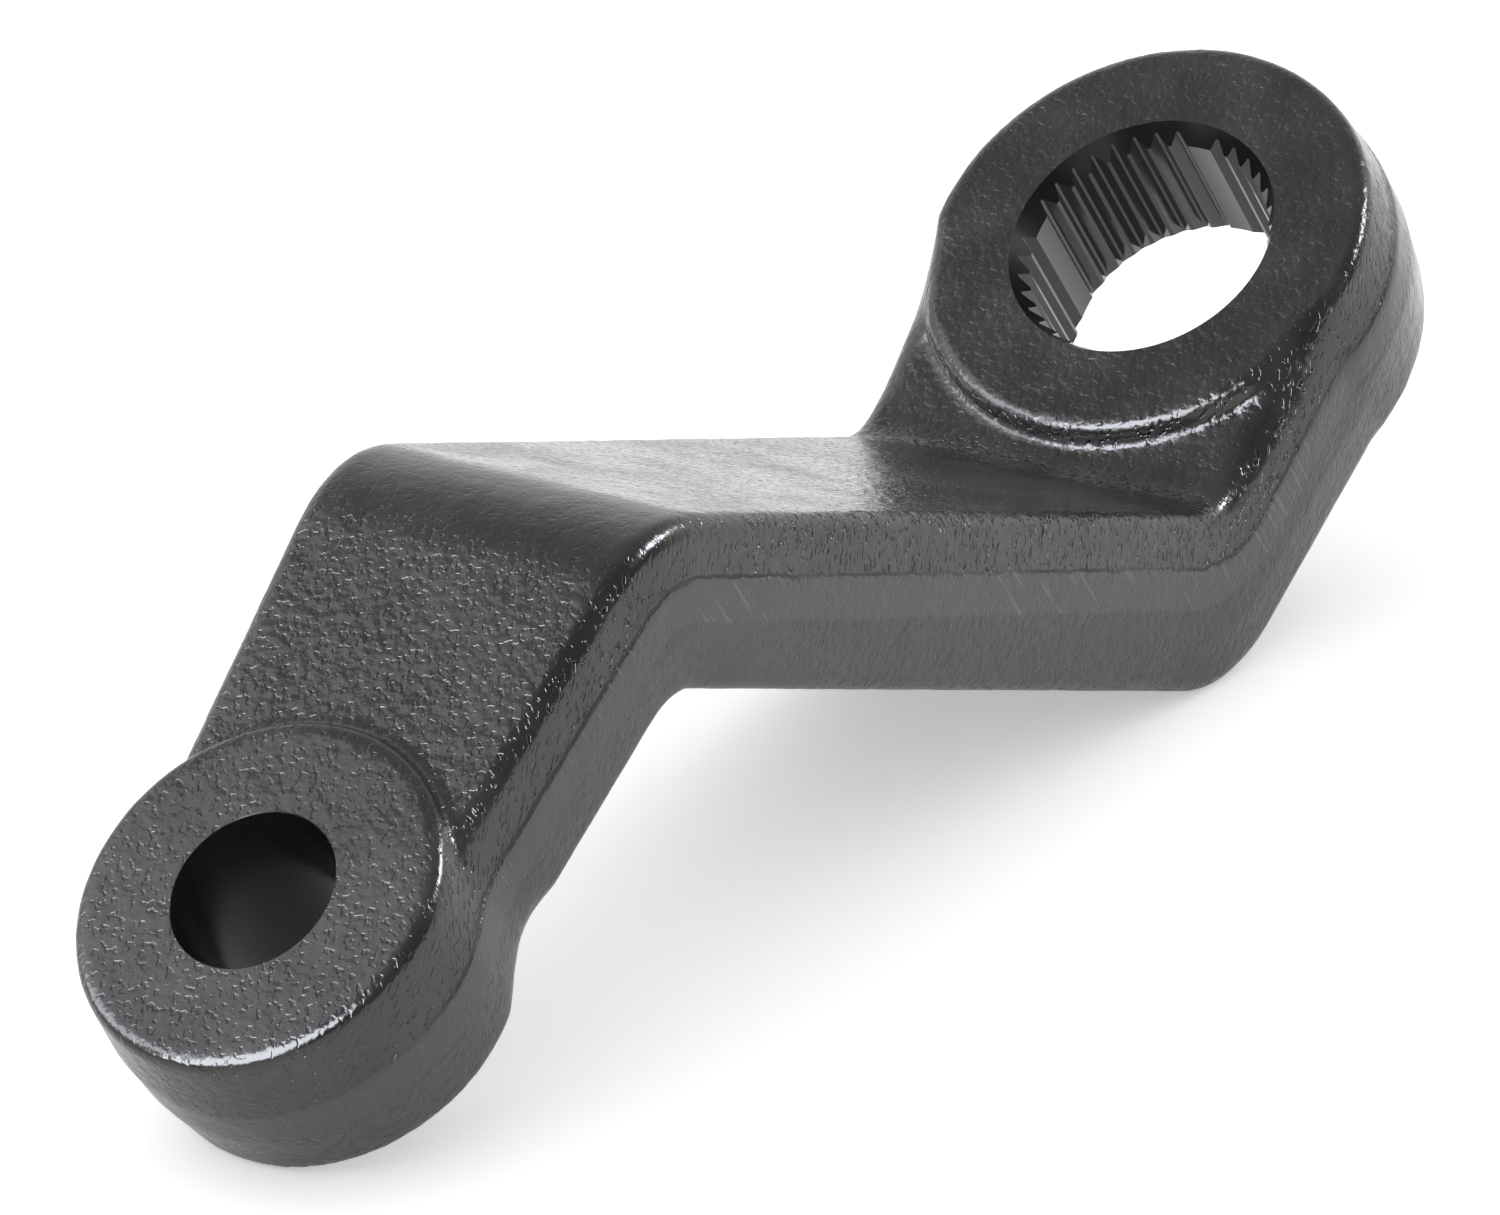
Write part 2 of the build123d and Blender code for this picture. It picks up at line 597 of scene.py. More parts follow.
    def depth_below_parting(self, points: np.ndarray) -> np.ndarray:
        """Measures how far points lie below the parting line, seen from the side.

        Args:
            points: Rows of x, y and z in metres.

        Returns:
            Depths in millimetres, negative above the line.
        """
        depth = self.layout.depth_below_top(points) - self.layout.parting_depth
        depth += np.interp(points[:, 0] / MM, *self.boss_climb)
        edge = self.layout.upper_edge()
        level = np.interp(points[:, 0] / MM, edge[:, 0], edge[:, 1])
        depth[points[:, 2] / MM > level] = -self.layout.parting_depth
        return depth

    def store_relief(self, mesh: bpy.types.Mesh) -> None:
        """Stores at each point what the paint needs to know about the skin under it.

        Args:
            mesh: The arm's mesh, changed in place.
        """
        points, normals = as_points(mesh), as_normals(mesh)
        along, height = points[:, 0] / MM, points[:, 2] / MM
        parting = self.depth_below_parting(points)
        side = self.sideways(points, normals)
        above = ease(0.5 - parting / self.skin_map.line_fade)
        walls = above * np.interp(along, *self.skin_map.wall_pits)
        walls += (1 - above) * self.skin_map.trimmed_pits
        pressed = np.interp(along, *self.skin_map.pressed_pits)
        from_bend = np.abs(along - self.layout.upper_bend_x - self.skin_map.bend_offset)
        bend = ease(1.0 - from_bend / self.skin_map.bend_reach)
        above_stud_foot = height - self.layout.drop + self.skin_map.stud_face_depth
        stud_face = ease(above_stud_foot / self.skin_map.stud_face_fade)
        values = {
            Relief.PARTING: parting,
            Relief.SIDE: side,
            Relief.PITTING: self.skin_map.least_pits + side * walls + (1 - side) * pressed,
            Relief.CREASE: side * np.interp(along, *self.skin_map.crease),
            Relief.CALM: np.maximum(bend, self.skin_map.stud_face_calm * stud_face),
        }
        for relief, amounts in values.items():
            layer = mesh.attributes.new(relief.value, "FLOAT", "POINT")
            layer.data.foreach_set("value", amounts.astype(np.float32))

    def sideways(self, points: np.ndarray, normals: np.ndarray) -> np.ndarray:
        """Tells the drafted walls from the upper and the lower surfaces.

        Args:
            points: Rows of x, y and z in metres.
            normals: Unit rows, one for each point.

        Returns:
            1 on a wall and 0 on a surface that the dies pressed flat.
        """
        edge = self.layout.upper_edge()
        slopes = np.diff(edge[:, 1]) / np.maximum(np.diff(edge[:, 0]), TINY)
        place = np.clip(np.searchsorted(edge[:, 0], points[:, 0] / MM) - 1, 0, len(slopes) - 1)
        slope = slopes[place]
        up = np.stack([-slope, np.zeros_like(slope), np.ones_like(slope)], axis=1)
        up /= np.linalg.norm(up, axis=1)[:, None]
        facing = np.abs((normals * up).sum(axis=1))
        return np.clip((self.wall_facing - facing) / self.wall_fade, 0, 1)

    def mark_sharp_edges(self, mesh: bpy.types.Mesh) -> None:
        """Keeps the skin smooth, and the edges of the machined walls sharp.

        Args:
            mesh: The arm's mesh, changed in place.
        """
        mesh.shade_smooth()
        bm = bmesh.new()
        bm.from_mesh(mesh)
        limit = math.radians(self.sharp_angle)
        for edge in bm.edges:
            kinds = {face.material_index for face in edge.link_faces}
            mixed = len(kinds) > 1
            creased = Surface.PAINTED.value not in kinds and edge.calc_face_angle(0.0) > limit
            edge.smooth = not (mixed or creased)
        bm.to_mesh(mesh)
        bm.free()

    def build(self, finishes: dict) -> bpy.types.Object:
        """Builds the dressed arm.

        Args:
            finishes: The material for each kind of surface.

        Returns:
            The arm's object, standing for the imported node.
        """
        blank = self.build_blank()
        skin = self.even_skin(blank)
        self.blend_bosses(skin)
        self.roughen(skin)
        self.offset_dies(skin)
        skin.materials.clear()
        for surface in Surface:
            skin.materials.append(finishes[surface])
        arm = new_object("forged_arm", skin)
        bore = SerratedBore(back=self.layout.back)
        hole = StudHole(centre_x=self.layout.stud_x, face=self.layout.drop, back=self.layout.stud_back)
        cutters = bore.build_cutters() | hole.build_cutters()
        for cutter, surface in cutters.items():
            cutter.data.materials.append(finishes[surface])
            cut = arm.modifiers.new(cutter.name, "BOOLEAN")
            cut.operation = "DIFFERENCE"
            cut.solver = "EXACT"
            cut.material_mode = "TRANSFER"
            cut.object = cutter
        mesh = evaluated_mesh(arm, "forged_arm")
        arm.modifiers.clear()
        arm.data = mesh
        for helper in [*cutters, blank]:
            bpy.data.objects.remove(helper)
        self.mark_sharp_edges(mesh)
        self.store_relief(mesh)
        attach(arm, BODY)
        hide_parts(NODE)
        log.info("forged arm: %d faces", len(mesh.polygons))
        return arm


class NodeTree:
    """A small helper that adds nodes to a material or a group and links them."""

    def __init__(self, tree: bpy.types.NodeTree) -> None:
        """Holds the tree that the nodes go into."""
        self.tree = tree

    def add(self, kind: str, values: dict | None = None, **settings: object) -> bpy.types.Node:
        """Adds a node.

        Args:
            kind: The node's type name.
            values: Input sockets to set or, where the value is an output socket, to link.
            settings: Properties of the node.

        Returns:
            The new node.
        """
        node = self.tree.nodes.new(kind)
        for name, value in settings.items():
            setattr(node, name, value)
        self.feed(node, values or {})
        return node

    def feed(self, node: bpy.types.Node, values: dict) -> None:
        """Sets a node's inputs, and links those whose value is an output socket.

        Args:
            node: The node.
            values: The values by the inputs' names or numbers.
        """
        for name, value in values.items():
            if isinstance(value, bpy.types.NodeSocket):
                self.tree.links.new(value, node.inputs[name])
            else:
                node.inputs[name].default_value = value

    def math(self, operation: str, *operands: object) -> bpy.types.NodeSocket:
        """Adds a Math node.

        Args:
            operation: The operation's name.
            operands: Numbers or output sockets.

        Returns:
            The result's socket.
        """
        return self.add("ShaderNodeMath", dict(enumerate(operands)), operation=operation).outputs[0]

    def span(self, value: object, low: float, high: float, *ends: float) -> bpy.types.NodeSocket:
        """Adds a Map Range node with eased ends.

        Args:
            value: The socket to map.
            low: Where the range starts.
            high: Where it ends.
            ends: The results at the start and at the end, 0 and 1 if left out.

        Returns:
            The result's socket.
        """
        to_low, to_high = ends or (0.0, 1.0)
        values = {"Value": value, "From Min": low, "From Max": high, "To Min": to_low, "To Max": to_high}
        kind = "ShaderNodeMapRange"
        return self.add(kind, values, interpolation_type="SMOOTHSTEP").outputs["Result"]

    def noise(
        self, place: object, scale: float, detail: float = 2.0, roughness: float = 0.5
    ) -> bpy.types.NodeSocket:
        """Adds a Noise Texture node.

        Args:
            place: The socket that gives the place.
            scale: Waves per unit.
            detail: Octaves.
            roughness: The share of each finer octave.

        Returns:
            The noise's socket, between 0 and 1.
        """
        values = {"Vector": place, "Scale": scale, "Detail": detail, "Roughness": roughness}
        return self.add("ShaderNodeTexNoise", values).outputs["Fac"]

    def blend(self, mask: object, under: object, over: object) -> bpy.types.NodeSocket:
        """Adds a Mix node for colours.

        Args:
            mask: How much of the second colour shows.
            under: The first colour or its socket.
            over: The second colour or its socket.

        Returns:
            The mixed colour's socket.
        """
        values = {"Factor": mask, MIX_UNDER: under, MIX_OVER: over}
        return self.add("ShaderNodeMix", values, data_type="RGBA").outputs[MIX_RESULT]

    def dot(self, along: object, direction: tuple) -> bpy.types.NodeSocket:
        """Adds a dot product.

        Args:
            along: The vector's socket.
            direction: The direction to measure along.

        Returns:
            The product's socket.
        """
        values = {0: along, 1: direction}
        return self.add("ShaderNodeVectorMath", values, operation="DOT_PRODUCT").outputs["Value"]

    def place_mm(self) -> bpy.types.NodeSocket:
        """Gives the place on the piece in millimetres."""
        values = {0: self.add("ShaderNodeTexCoord").outputs["Object"], "Scale": 1 / MM}
        return self.add("ShaderNodeVectorMath", values, operation="SCALE").outputs[0]

    def stored(self, relief: Relief) -> bpy.types.NodeSocket:
        """Gives a value that the mesh stores."""
        return self.add("ShaderNodeAttribute", attribute_name=relief.value).outputs["Fac"]

    def bump(self, height: bpy.types.NodeSocket) -> bpy.types.NodeSocket:
        """Gives the normal of a relief whose height is in millimetres."""
        values = {"Height": height, "Strength": 1.0, "Distance": MM}
        return self.add("ShaderNodeBump", values).outputs["Normal"]


def new_group(name: str, inputs: dict, outputs: dict) -> bpy.types.NodeTree:
    """Starts a shader node group.

    Args:
        name: The group's name.
        inputs: Socket kinds and default values by name.
        outputs: Socket kinds by name.

    Returns:
        The group with its sockets.
    """
    group = bpy.data.node_groups.new(name, "ShaderNodeTree")
    for title, (kind, value) in inputs.items():
        socket = group.interface.new_socket(title, in_out="INPUT", socket_type=kind)
        if value is not None:
            socket.default_value = value
    for title, kind in outputs.items():
        group.interface.new_socket(title, in_out="OUTPUT", socket_type=kind)
    return group


@dataclass(frozen=True)
class ForgedGrain:
    """The effect of a hot-forged skin under paint: a soft peel, scale pits, grains and a fine tooth.

    Scales are in waves for each millimetre, and each noise is its scale, detail and roughness.
    """

    peel: tuple = (0.85, 1.4, 0.45)
    pit: tuple = (1.0, 1.0, 0.4)
    tooth: tuple = (3.2, 1.0, 0.5)
    pit_span: tuple = (0.455, 0.32)
    cell_scale: float = 1.65
    cells_used: tuple = (0.35, 0.8)
    grain_span: tuple = (0.30, 0.03)

    def build(self) -> bpy.types.NodeTree:
        """Builds the group.

        Returns:
            The group. Its Height is in millimetres.
        """
        inputs = {
            "Place": ("NodeSocketVector", None),
            "Pit Place": ("NodeSocketVector", None),
            "Peel": ("NodeSocketFloat", 0.02),
            "Grains": ("NodeSocketFloat", 0.05),
            "Pit Depth": ("NodeSocketFloat", 0.05),
            "Tooth": ("NodeSocketFloat", 0.004),
        }
        group = new_group("forged_grain", inputs, {"Height": "NodeSocketFloat", "Pits": "NodeSocketFloat"})
        nodes = NodeTree(group)
        given = nodes.add("NodeGroupInput").outputs
        peel = nodes.math("SUBTRACT", nodes.noise(given["Place"], *self.peel), 0.5)
        pits = nodes.span(nodes.noise(given["Pit Place"], *self.pit), *self.pit_span)
        tooth = nodes.noise(given["Place"], *self.tooth)
        values = {"Vector": given["Place"], "Scale": self.cell_scale}
        cells = nodes.add("ShaderNodeTexVoronoi", values).outputs
        lot = nodes.add("ShaderNodeSeparateColor", {"Color": cells["Color"]}).outputs[0]
        grain = nodes.span(cells["Distance"], *self.grain_span)
        grain = nodes.math("MULTIPLY", grain, nodes.span(lot, *self.cells_used))
        height = nodes.math("MULTIPLY", peel, given["Peel"])
        height = nodes.math("ADD", height, nodes.math("MULTIPLY", grain, given["Grains"]))
        height = nodes.math("SUBTRACT", height, nodes.math("MULTIPLY", pits, given["Pit Depth"]))
        height = nodes.math("ADD", height, nodes.math("MULTIPLY", tooth, given["Tooth"]))
        nodes.add("NodeGroupOutput", {"Height": height, "Pits": pits})
        return group


@dataclass(frozen=True)
class TrimMarks:
    """The effect of a trimmed parting line: a crease, and below it the smooth band with its scratches.

    Widths are in millimetres, and each noise is its scale, detail and roughness.
    """

    ragged: tuple = (0.4, 4.0, 0.65)
    wander: float = 1.1
    fading: tuple = (0.06, 2.0)
    fading_span: tuple = (0.34, 0.6, 0.35, 1.0)
    crease_span: tuple = (0.45, 0.08)
    line_span: tuple = (0.34, 0.10)
    band_start: tuple = (0.0, 0.25)
    band_end: tuple = (0.3, -0.3)
    scratch_stretch: tuple = (1.7, 0.3, 0.09)
    scratch: tuple = (1.0, 2.0, 0.55)
    scratch_span: tuple = (0.56, 0.68)
    patch: tuple = (0.09, 1.0)
    patch_span: tuple = (0.40, 0.60)

    def build(self) -> bpy.types.NodeTree:
        """Builds the group.

        Returns:
            The group. Its Height is in millimetres and its Band is 1 where the flash was trimmed off.
        """
        inputs = {
            "Place": ("NodeSocketVector", None),
            "Depth": ("NodeSocketFloat", 0.0),
            "Side": ("NodeSocketFloat", 0.0),
            "Shown": ("NodeSocketFloat", 0.0),
            "Band Width": ("NodeSocketFloat", 5.0),
            "Crease": ("NodeSocketFloat", 0.2),
            "Scratch Height": ("NodeSocketFloat", 0.03),
        }
        outputs = {name: "NodeSocketFloat" for name in ("Height", "Band", "Line", "Scratch")}
        group = new_group("trim_marks", inputs, outputs)
        nodes = NodeTree(group)
        given = nodes.add("NodeGroupInput").outputs
        ragged = nodes.math("SUBTRACT", nodes.noise(given["Place"], *self.ragged), 0.5)
        depth = nodes.math("ADD", given["Depth"], nodes.math("MULTIPLY", ragged, self.wander))
        off_line = nodes.math("ABSOLUTE", depth)
        strength = nodes.span(nodes.noise(given["Place"], *self.fading), *self.fading_span)
        strength = nodes.math("MULTIPLY", strength, given["Shown"])
        crease = nodes.math("MULTIPLY", nodes.span(off_line, *self.crease_span), strength)
        # Line is the strip along the crease that the paint darkens as painted shade.
        line = nodes.math("MULTIPLY", nodes.span(off_line, *self.line_span), strength)
        entering = nodes.span(depth, *self.band_start)
        leaving = nodes.span(nodes.math("SUBTRACT", depth, given["Band Width"]), *self.band_end)
        band = nodes.math("MULTIPLY", nodes.math("MULTIPLY", entering, leaving), given["Side"])
        values = {"Vector": given["Place"], "Scale": self.scratch_stretch}
        stretched = nodes.add("ShaderNodeMapping", values).outputs[0]
        scratches = nodes.span(nodes.noise(stretched, *self.scratch), *self.scratch_span)
        patches = nodes.span(nodes.noise(given["Place"], *self.patch), *self.patch_span)
        patches = nodes.math("MULTIPLY", patches, given["Shown"])
        scratch = nodes.math("MULTIPLY", nodes.math("MULTIPLY", scratches, patches), band)
        height = nodes.math("MULTIPLY", scratch, given["Scratch Height"])
        height = nodes.math("SUBTRACT", height, nodes.math("MULTIPLY", crease, given["Crease"]))
        nodes.add("NodeGroupOutput", {"Height": height, "Band": band, "Line": line, "Scratch": scratch})
        return group


def new_material(name: str) -> tuple:
    """Starts a material.

    Args:
        name: The material's name.

    Returns:
        The material, the helper for its nodes and its shader.
    """
    material = bpy.data.materials.new(name)
    material.use_nodes = True
    return material, NodeTree(material.node_tree), material.node_tree.nodes["Principled BSDF"]


@dataclass(frozen=True)
class SatinPaint:
    """Black satin paint over the forged skin, with painted shade darkening its pits and the crease of its
    parting line.
    """

    colour: tuple = (0.0212, 0.0200, 0.0194, 1.0)
    dusty: tuple = (0.035, 0.032, 0.029, 1.0)
    trimmed: tuple = (0.041, 0.040, 0.039, 1.0)
    scratched: tuple = (0.085, 0.083, 0.080, 1.0)
    # Painted shade: the colour that darkens the paint in its pits.
    pit_shade: tuple = (0.006, 0.006, 0.006, 1.0)
    # Painted shade: the near-black colour along the parting line's crease.
    crease_shade: tuple = (0.003, 0.003, 0.003, 1.0)
    roughness: float = 0.16
    worn_roughness: float = 0.26
    gap_roughness: float = 0.7
    peel: float = 0.14
    wall_peel: float = 0.10
    pit_depth: float = 0.18
    grains: float = 0.017
    tooth: float = 0.012
    pressed_tooth: float = 0.032
    crease: float = 0.10
    scratch_height: float = 0.05
    trim_relief: float = 0.45
    calm_relief: float = 0.35
    grain_fade: float = 0.5
    pressed_span: tuple = (1.05, 1.35)
    lean: float = math.radians(56.0)
    pit_stretch: tuple = (1.9, 1.2, 0.75)
    patch: tuple = (0.09, 2.0)
    patch_span: tuple = (0.35, 0.6, 0.6, 1.0)
    cloud: tuple = (0.09, 3.0)
    dusty_span: tuple = (0.35, 0.7)
    worn_span: tuple = (0.3, 0.75)
    ior: float = 1.6

    def build(self, grain: bpy.types.NodeTree, marks: bpy.types.NodeTree) -> bpy.types.Material:
        """Builds the material.

        Args:
            grain: The forged grain group.
            marks: The trim marks group.

        Returns:
            The paint.
        """
        material, nodes, shader = new_material("satin_paint")
        place, side = nodes.place_mm(), nodes.stored(Relief.SIDE)
        pitting = nodes.stored(Relief.PITTING)
        trim_values = {
            "Place": place,
            "Depth": nodes.stored(Relief.PARTING),
            "Side": side,
            "Shown": nodes.stored(Relief.CREASE),
            "Crease": self.crease,
            "Scratch Height": self.scratch_height,
        }
        trim = nodes.add("ShaderNodeGroup", trim_values, node_tree=marks).outputs
        turn = {"Vector": place, "Angle": self.lean}
        tipped = nodes.add("ShaderNodeVectorRotate", turn, rotation_type="Y_AXIS").outputs[0]
        upright = {"Vector": tipped, "Scale": self.pit_stretch}
        patchy = nodes.span(nodes.noise(place, *self.patch), *self.patch_span)
        pit_depth = nodes.math("MULTIPLY", nodes.math("MULTIPLY", patchy, pitting), self.pit_depth)
        grain_values = {
            "Place": place,
            "Pit Place": nodes.add("ShaderNodeMapping", upright).outputs[0],
            "Peel": nodes.span(side, 0.0, 1.0, self.peel, self.wall_peel),
            "Grains": nodes.span(side, 0.0, self.grain_fade, self.grains, 0.0),
            "Tooth": nodes.span(pitting, *self.pressed_span, self.tooth, self.pressed_tooth),
            "Pit Depth": pit_depth,
        }
        skin = nodes.add("ShaderNodeGroup", grain_values, node_tree=grain).outputs
        trimmed_away = nodes.math("MULTIPLY", trim["Band"], 1 - self.trim_relief)
        calm = nodes.span(nodes.stored(Relief.CALM), 0.0, 1.0, 1.0, self.calm_relief)
        relief = nodes.math("MULTIPLY", nodes.math("SUBTRACT", 1.0, trimmed_away), calm)
        height = nodes.math("MULTIPLY", skin["Height"], relief)
        height = nodes.math("ADD", height, trim["Height"])
        cloud = nodes.noise(place, *self.cloud)
        # How strongly the painted shade darkens each pit.
        pit_shade = nodes.math("MULTIPLY", nodes.math("MULTIPLY", skin["Pits"], pitting), relief)
        colour = nodes.blend(nodes.span(cloud, *self.dusty_span), self.colour, self.dusty)
        # Colours over the base: the trimmed band and the scratches are the paint's own, the pits and the
        # crease line get painted shade.
        for mask, over in (
            (trim["Band"], self.trimmed),
            (pit_shade, self.pit_shade),
            (trim["Scratch"], self.scratched),
            (trim["Line"], self.crease_shade),
        ):
            colour = nodes.blend(mask, colour, over)
        gloss = nodes.span(cloud, *self.worn_span, self.roughness, self.worn_roughness)
        ends = {"Factor": trim["Line"], "A": gloss, "B": self.gap_roughness}
        values = {
            "Base Color": colour,
            "Roughness": nodes.add("ShaderNodeMix", ends).outputs[0],
            "Normal": nodes.bump(height),
            "IOR": self.ior,
        }
        nodes.feed(shader, values)
        return material


@dataclass(frozen=True)
class CutSteel:
    """The smooth walls that a cutting tool left, under the same black paint."""

    name: str
    colour: tuple
    roughness: float
    gloss: float
    line: float = 0.004
    line_stretch: tuple = (0.9, 0.9, 0.05)

    def build(self) -> bpy.types.Material:
        """Builds the material.

        Returns:
            The machined finish.
        """
        material, nodes, shader = new_material(self.name)
        drawn = {"Vector": nodes.place_mm(), "Scale": self.line_stretch}
        lines = nodes.noise(nodes.add("ShaderNodeMapping", drawn).outputs[0], 1.0, 1.0)
        values = {
            "Base Color": self.colour,
            "Roughness": self.roughness,
            "Specular IOR Level": self.gloss,
            "Normal": nodes.bump(nodes.math("MULTIPLY", lines, self.line)),
        }
        nodes.feed(shader, values)
        return material


@dataclass(frozen=True)
class Softbox:
    """A rectangular light that faces the arm: its place and size in metres, its power in watts."""

    name: str
    place: tuple
    size: tuple
    power: float


@dataclass
class Studio:
    """A pale sheet under the resting arm, plain soft lights and the photograph's view of it."""

    middle: tuple = (0.07, 0.0, 0.03)
    floor_size: float = 1.6
    tilts: tuple = (20.0, 60.0, 0.25)
    touch: float = 0.15
    paper: tuple = (0.82, 0.82, 0.82, 1.0)
    unlit: tuple = (0.0, 0.0, 0.0, 1.0)
    paper_glow: float = 0.40
    # Glow that the sheet shows only in reflections, a painted reflection, stronger on its far side than on
    # its near side.
    near_glow: float = 0.20
    far_glow: float = 0.54
    far_side: tuple = (0.5, 1.0, 0.0)
    far_span: tuple = (-0.08, 0.08)
    # Where that painted reflection fades out ahead of the arm, leaving the sheet black in reflections.
    front_span: tuple = (0.175, 0.275, 1.0, 0.08)
    upward: tuple = (-0.597, 0.0, 0.802)
    wall_light: float = 1.05
    ceiling_light: float = 0.24
    ceiling_span: tuple = (0.30, 0.97)
    dark_side: tuple = (0.55, 0.75, 0.37)
    dark_light: float = 0.06
    dark_span: tuple = (-0.15, 0.3, 1.0, 0.0)
    cool_tint: tuple = (0.89, 0.92, 1.0)
    soft_light: float = 0.95
    soft_slope: float = 0.2
    camera_place: tuple = (0.393788, 0.437976, 0.685877)
    camera_ahead: tuple = (-0.37296, -0.51971, -0.76864)
    camera_up: tuple = (-0.82400, -0.19530, 0.53187)
    lens_mm: float = 178.25
    sensor_mm: float = 36.0
    clip_start: float = 0.01
    wide_light: Softbox = Softbox("wide_softbox", (-0.45, -0.62, 1.15), (1.5, 1.5), 7.0)
    gloss_lights: tuple = (
        Softbox("gloss_softbox", (0.74, -0.14, 0.91), (1.0, 1.2), 54.0),
        Softbox("low_softbox", (0.30, -0.89, 0.89), (0.4, 0.75), 4.2),
        Softbox("pale_panel", (0.045, -1.02, 1.27), (1.05, 1.2), 4.8),
        Softbox("side_softbox", (-0.785, 0.65, 0.27), (0.35, 0.35), 10.0),
    )

    def resting_plane(self, arm: bpy.types.Object) -> tuple:
        """Finds the plane that the arm lies on: under its lower bend and under the back of its small boss.

        Args:
            arm: The dressed arm.

        Returns:
            A point of the plane and its upward normal.
        """
        points = as_points(arm.data)[:, [0, 2]]
        best, found = None, (Vector((0, 0, CAD_BOX[0][2])), Vector((0, 0, 1)))
        for degrees in np.arange(*self.tilts):
            angle = math.radians(degrees)
            up = np.array([-math.sin(angle), math.cos(angle)])
            heights = points @ up
            low = heights.min()
            touching = points[heights < low + self.touch * MM]
            reach = np.ptp(touching[:, 0])
            if best is None or reach > best:
                best = reach
                found = (Vector((up[0] * low, 0, up[1] * low)), Vector((up[0], 0, up[1])))
        return found

    def lay_floor(self, arm: bpy.types.Object) -> None:
        """Lays the pale sheet that the arm rests on.

        Args:
            arm: The dressed arm.
        """
        place, up = self.resting_plane(arm)
        log.info("floor normal %s", [round(value, 4) for value in up])
        bm = bmesh.new()
        bmesh.ops.create_grid(bm, x_segments=1, y_segments=1, size=self.floor_size / 2)
        mesh = bpy.data.meshes.new("paper_sheet")
        bm.to_mesh(mesh)
        bm.free()
        sheet = new_object("paper_sheet", mesh)
        sheet.matrix_world = Matrix.Translation(place) @ up.to_track_quat("Z", "X").to_matrix().to_4x4()
        mesh.materials.append(self.paper_finish())

    def paper_finish(self) -> bpy.types.Material:
        """Builds the sheet's finish: white to the camera, with the arm's shadow kept. In reflections it
        shows a painted glow, brighter on its far side, and ahead of the arm it turns black as a painted
        dark reflection.

        Returns:
            The material.
        """
        material, nodes, shader = new_material("pale_paper")
        material.node_tree.nodes.remove(shader)
        rays = nodes.add("ShaderNodeLightPath").outputs
        seen = nodes.math("MAXIMUM", rays["Is Camera Ray"], rays["Is Transmission Ray"])
        seen = nodes.math("MULTIPLY", seen, self.paper_glow)
        sides = nodes.add("ShaderNodeNewGeometry").outputs
        ahead = nodes.add("ShaderNodeSeparateXYZ", {"Vector": sides["Position"]}).outputs["X"]
        # Painted reflection: to glossy rays the sheet glows, more on its far side, and ahead of the arm it
        # turns black as a painted dark reflection.
        lit = nodes.span(ahead, *self.front_span)
        across = nodes.dot(sides["Position"], self.far_side)
        mirrored = nodes.span(across, *self.far_span, self.far_glow, self.near_glow)
        mirrored = nodes.math("MULTIPLY", nodes.math("MULTIPLY", mirrored, lit), rays["Is Glossy Ray"])
        dimmed = nodes.math("MULTIPLY", rays["Is Glossy Ray"], nodes.math("SUBTRACT", 1.0, lit))
        shade = nodes.blend(dimmed, self.paper, self.unlit)
        matt = nodes.add("ShaderNodeBsdfDiffuse", {"Color": shade})
        glow = nodes.add("ShaderNodeEmission", {"Strength": nodes.math("MAXIMUM", seen, mirrored)})
        sheet = nodes.add("ShaderNodeAddShader", {0: matt.outputs[0], 1: glow.outputs[0]})
        clear = nodes.add("ShaderNodeBsdfTransparent")
        ends = {0: sides["Backfacing"], 1: sheet.outputs[0], 2: clear.outputs[0]}
        mixed = nodes.add("ShaderNodeMixShader", ends).outputs[0]
        nodes.feed(material.node_tree.nodes["Material Output"], {"Surface": mixed})
        return material

    def light_world(self) -> None:
        """Gives the room its light: pale walls under a dimmer ceiling, and a dark room before the sheet."""
        world = bpy.data.worlds.new("room")
        bpy.context.scene.world = world
        world.use_nodes = True
        nodes = NodeTree(world.node_tree)
        rays = nodes.add("ShaderNodeLightPath").outputs
        outward = nodes.add("ShaderNodeTexCoord").outputs["Generated"]
        toward = nodes.dot(outward, self.dark_side)
        height = nodes.dot(outward, self.upward)
        walls = nodes.span(height, *self.ceiling_span, self.wall_light, self.ceiling_light)
        bright = nodes.span(toward, *self.dark_span)
        room = nodes.math("ADD", nodes.math("MULTIPLY", walls, bright), self.dark_light)
        gloss = nodes.math("MULTIPLY", room, rays["Is Glossy Ray"])
        open_side = nodes.math("MULTIPLY_ADD", toward, self.soft_slope, self.soft_light)
        soft = nodes.math("MULTIPLY", rays["Is Diffuse Ray"], open_side)
        strength = nodes.math("ADD", nodes.math("ADD", gloss, soft), rays["Is Camera Ray"])
        values = {"Color": (1, 1, 1, 1), "Strength": strength}
        nodes.feed(world.node_tree.nodes["Background"], values)

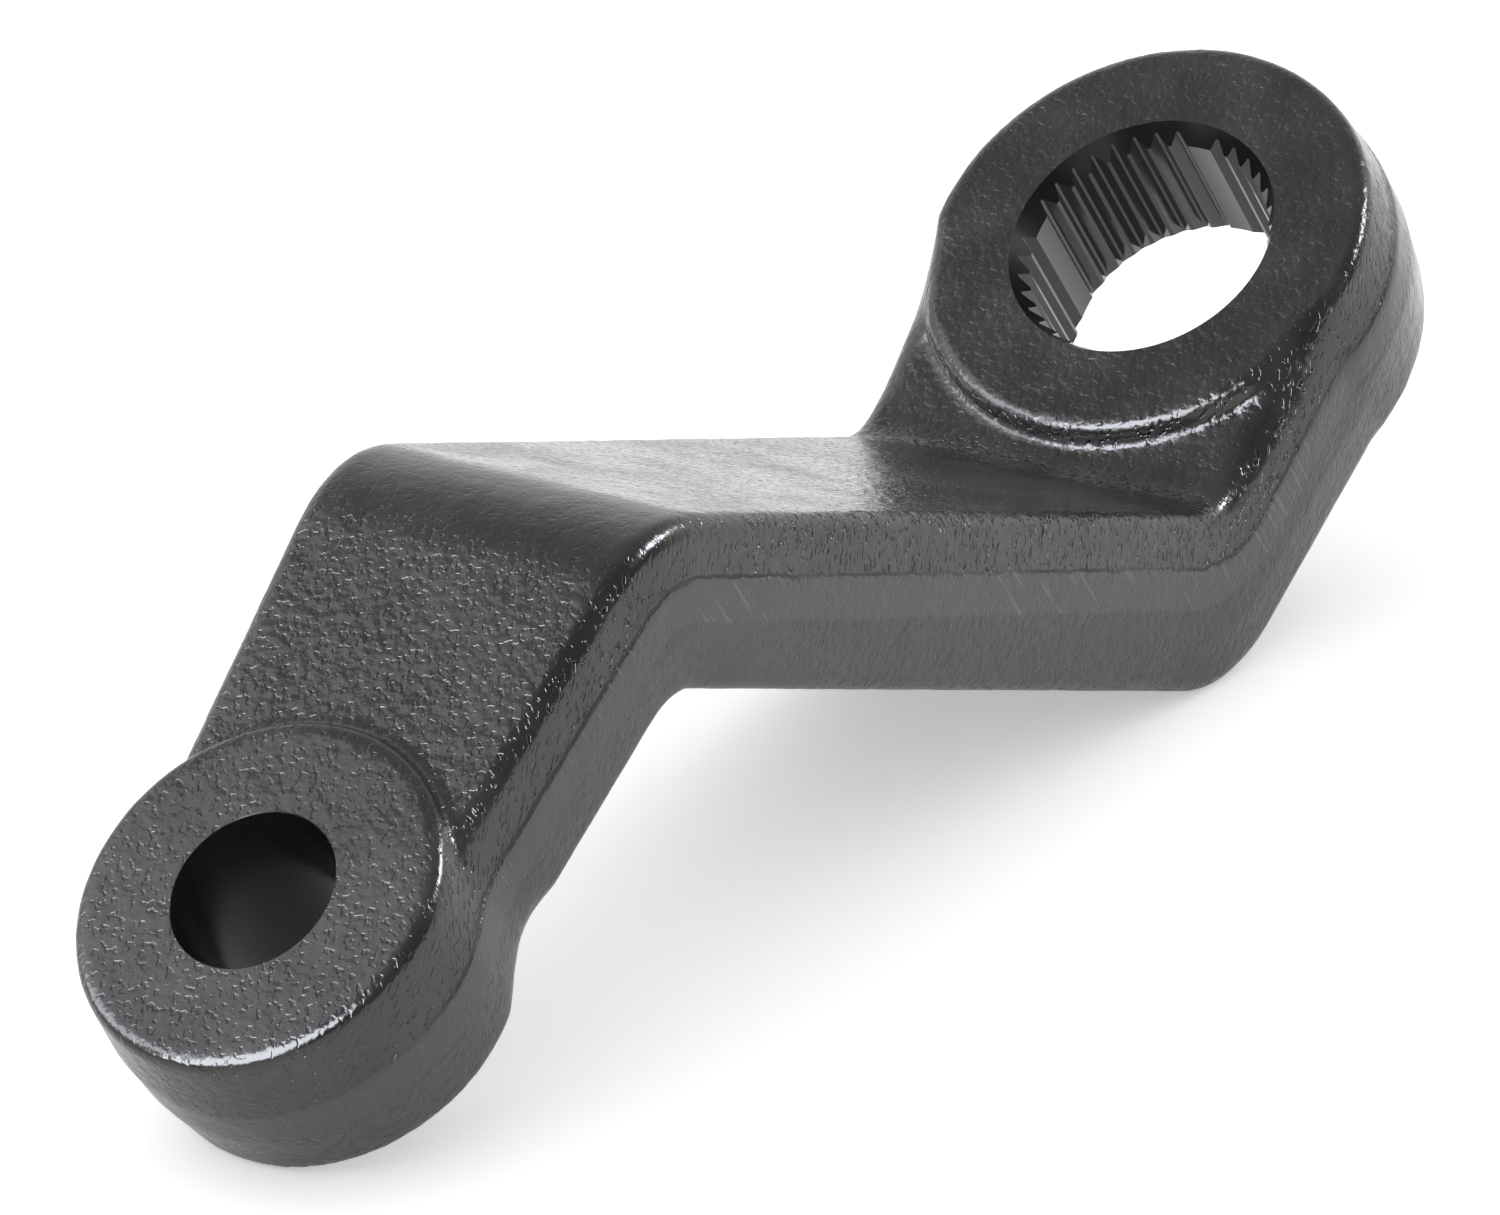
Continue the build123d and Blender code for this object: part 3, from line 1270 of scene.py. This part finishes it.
    def hang_light(self, softbox: Softbox) -> bpy.types.Object:
        """Hangs a softbox that faces the arm.

        Args:
            softbox: What to hang.

        Returns:
            The light.
        """
        lamp = bpy.data.lights.new(softbox.name, "AREA")
        lamp.shape = "RECTANGLE"
        lamp.size, lamp.size_y = softbox.size
        lamp.energy = softbox.power
        holder = bpy.data.objects.new(softbox.name, lamp)
        bpy.context.scene.collection.objects.link(holder)
        holder.location = softbox.place
        facing = Vector(self.middle) - Vector(softbox.place)
        holder.rotation_euler = facing.to_track_quat("-Z", "Y").to_euler()
        return holder

    def hang_lights(self) -> None:
        """Hangs a wide soft light over the arm, and four that only show in its gloss."""
        self.hang_light(self.wide_light).visible_glossy = False
        for softbox in self.gloss_lights:
            holder = self.hang_light(softbox)
            holder.visible_diffuse = False
            holder.data.color = self.cool_tint

    def place_camera(self) -> None:
        """Stands the camera where the photograph was taken from."""
        data = bpy.data.cameras.new("photograph_view")
        data.lens = self.lens_mm
        data.sensor_width = self.sensor_mm
        data.clip_start = self.clip_start
        camera = bpy.data.objects.new("photograph_view", data)
        bpy.context.scene.collection.objects.link(camera)
        back = -Vector(self.camera_ahead)
        up = Vector(self.camera_up)
        right = up.cross(back).normalized()
        up = back.cross(right)
        turn = Matrix((right, up, back)).transposed().to_4x4()
        camera.matrix_world = Matrix.Translation(self.camera_place) @ turn
        bpy.context.scene.camera = camera


def main() -> None:
    """Builds the arm, the floor, the lights and the camera."""
    studio = Studio()
    studio.place_camera()
    broached = CutSteel("broached_wall", (0.018, 0.018, 0.019, 1.0), roughness=0.17, gloss=0.75)
    # The reamed walls are darker and duller than the paint. This is partly their finish and partly painted
    # shade inside the stud hole and the bore's cones.
    reamed = CutSteel("reamed_wall_painted_shade", (0.008, 0.008, 0.008, 1.0), roughness=0.24, gloss=0.38)
    finishes = {
        Surface.PAINTED: SatinPaint().build(ForgedGrain().build(), TrimMarks().build()),
        Surface.BROACHED: broached.build(),
        Surface.REAMED: reamed.build(),
    }
    arm = Forging(Layout.from_frame()).build(finishes)
    studio.lay_floor(arm)
    studio.light_world()
    studio.hang_lights()
    bpy.context.scene.view_settings.view_transform = "Standard"


if __name__ == "__main__":
    logging.basicConfig(level=logging.INFO, format="%(name)s: %(message)s")
    main()
